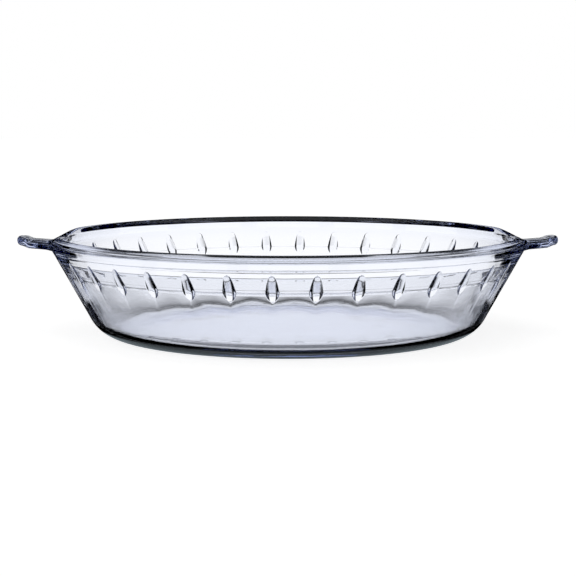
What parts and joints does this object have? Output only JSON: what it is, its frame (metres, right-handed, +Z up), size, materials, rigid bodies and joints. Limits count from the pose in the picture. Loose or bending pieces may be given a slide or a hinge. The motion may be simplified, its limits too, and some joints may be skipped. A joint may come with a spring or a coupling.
{
  "type": "glass baking dish",
  "caption": "Round clear pressed-glass baking dish with a flared wall, ribs inside the wall, a thick rounded rim and two small ear handles.",
  "frame": {"origin": "centre of the foot ring, on the surface that the dish stands on", "axes": "+X from handle to handle, +Y across the dish, +Z up out of the dish"},
  "size_m": [0.3046, 0.2638, 0.056],
  "materials": {
    "clear_glass": "polished clear pressed glass with a faint blue-grey body colour"
  },
  "bodies": {
    "root": {"base_pan": "clear_glass", "ribbed_wall": "clear_glass", "rim_band": "clear_glass", "handle_left": "clear_glass", "handle_right": "clear_glass"}
  },
  "joints": []
}
